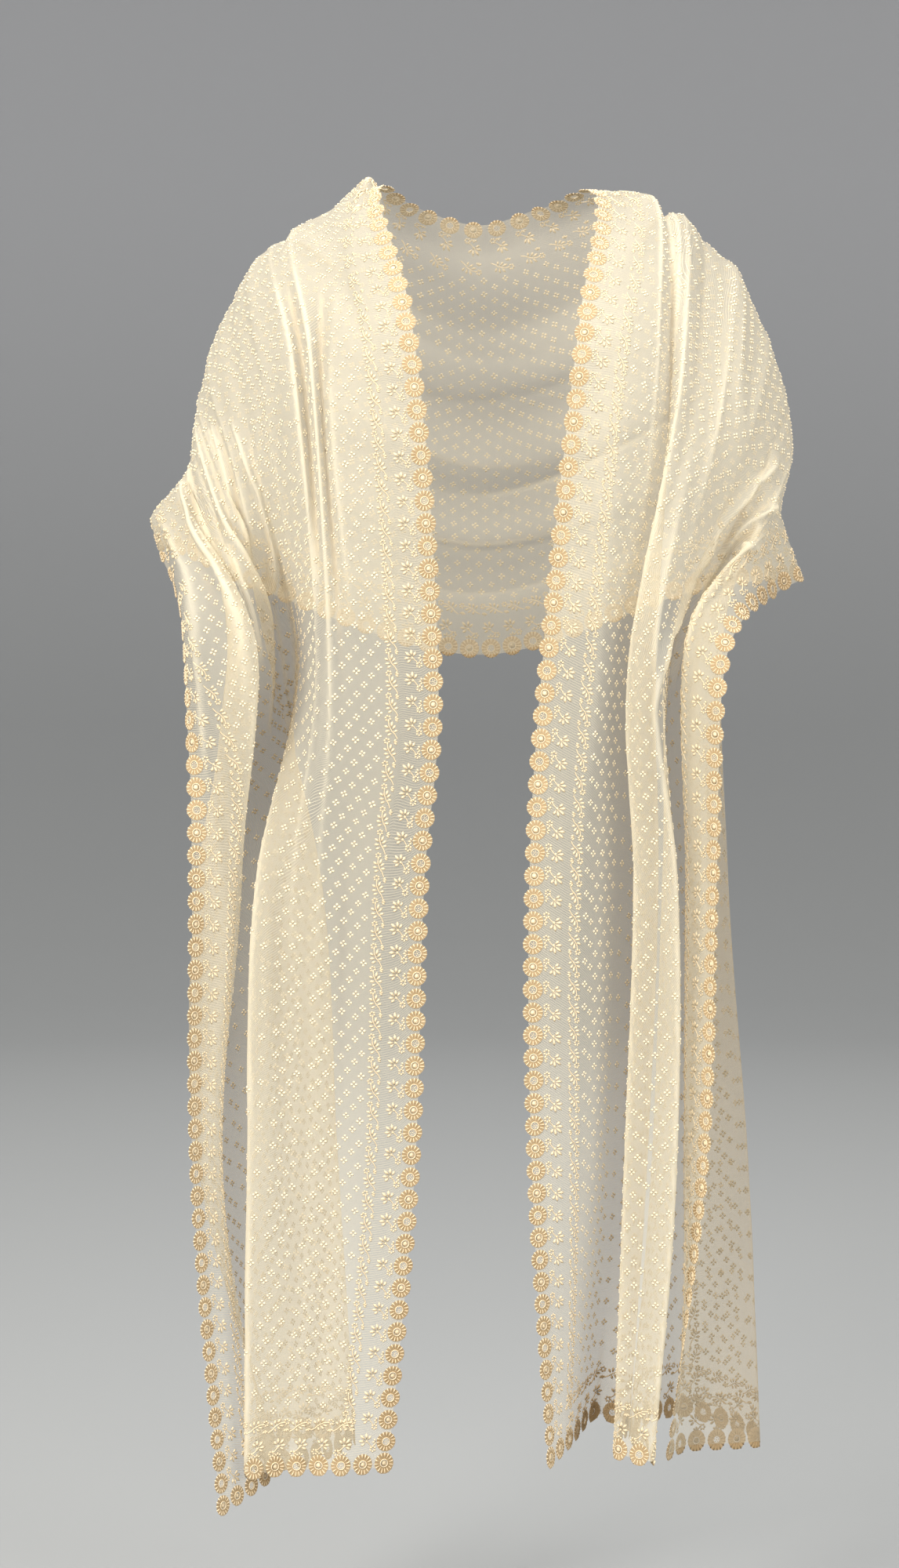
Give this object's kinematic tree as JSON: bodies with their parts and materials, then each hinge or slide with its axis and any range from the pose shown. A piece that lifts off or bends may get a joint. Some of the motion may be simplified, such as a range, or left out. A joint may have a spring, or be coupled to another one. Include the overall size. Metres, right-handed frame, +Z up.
{
  "type": "worn lace shawl",
  "caption": "Long lace net shawl, worn open over the shoulders and elbows, with scalloped borders and deep hanging folds.",
  "frame": {"origin": "midway between the wearer's shoulder tops, where the shawl is held", "axes": "+Z up, the wearer faces -Y, the wearer's left is +X"},
  "size_m": [0.6512, 0.3025, 1.3411],
  "materials": {
    "net": "sheer cotton net, matt",
    "lace": "raised cotton embroidery, matt"
  },
  "bodies": {
    "root": {"net_back": "net", "net_shoulder_right": "net", "net_shoulder_left": "net", "net_front_right": "net", "net_front_left": "net", "net_fall_right": "net", "net_fall_left": "net", "neck_edge_back": "lace", "neck_edge_right_upper": "lace", "neck_edge_right_lower": "lace", "neck_edge_left_upper": "lace", "neck_edge_left_lower": "lace", "outer_edge_back": "lace", "outer_edge_right_upper": "lace", "outer_edge_right_lower": "lace", "outer_edge_left_upper": "lace", "outer_edge_left_lower": "lace", "hem_right": "lace", "hem_left": "lace"}
  },
  "joints": []
}
